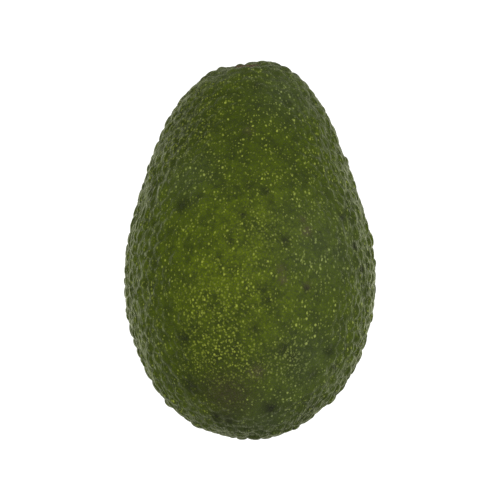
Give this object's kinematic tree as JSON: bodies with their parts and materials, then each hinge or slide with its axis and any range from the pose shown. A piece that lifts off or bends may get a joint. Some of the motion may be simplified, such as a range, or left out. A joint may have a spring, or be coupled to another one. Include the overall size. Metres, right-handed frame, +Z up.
{
  "type": "avocado",
  "caption": "Whole avocado with dark green pebbly skin, lying on its side on a small pressed flat, with a woody stem button sunk in a bowl at its narrow end.",
  "frame": {"origin": "middle of the flat spot on the underside that the fruit lies on", "axes": "+Z up from the surface that it lies on, +Y along the fruit towards the stem end, +X across"},
  "size_m": [0.0667, 0.1, 0.0641],
  "materials": {
    "skin": "pebbly avocado skin, satin, dark green with fine yellow-green specks and darker soft blotches",
    "stem_wood": "dry, rough, brown stalk wood"
  },
  "bodies": {
    "root": {"fruit": "skin", "stem_button": "stem_wood"}
  },
  "joints": []
}
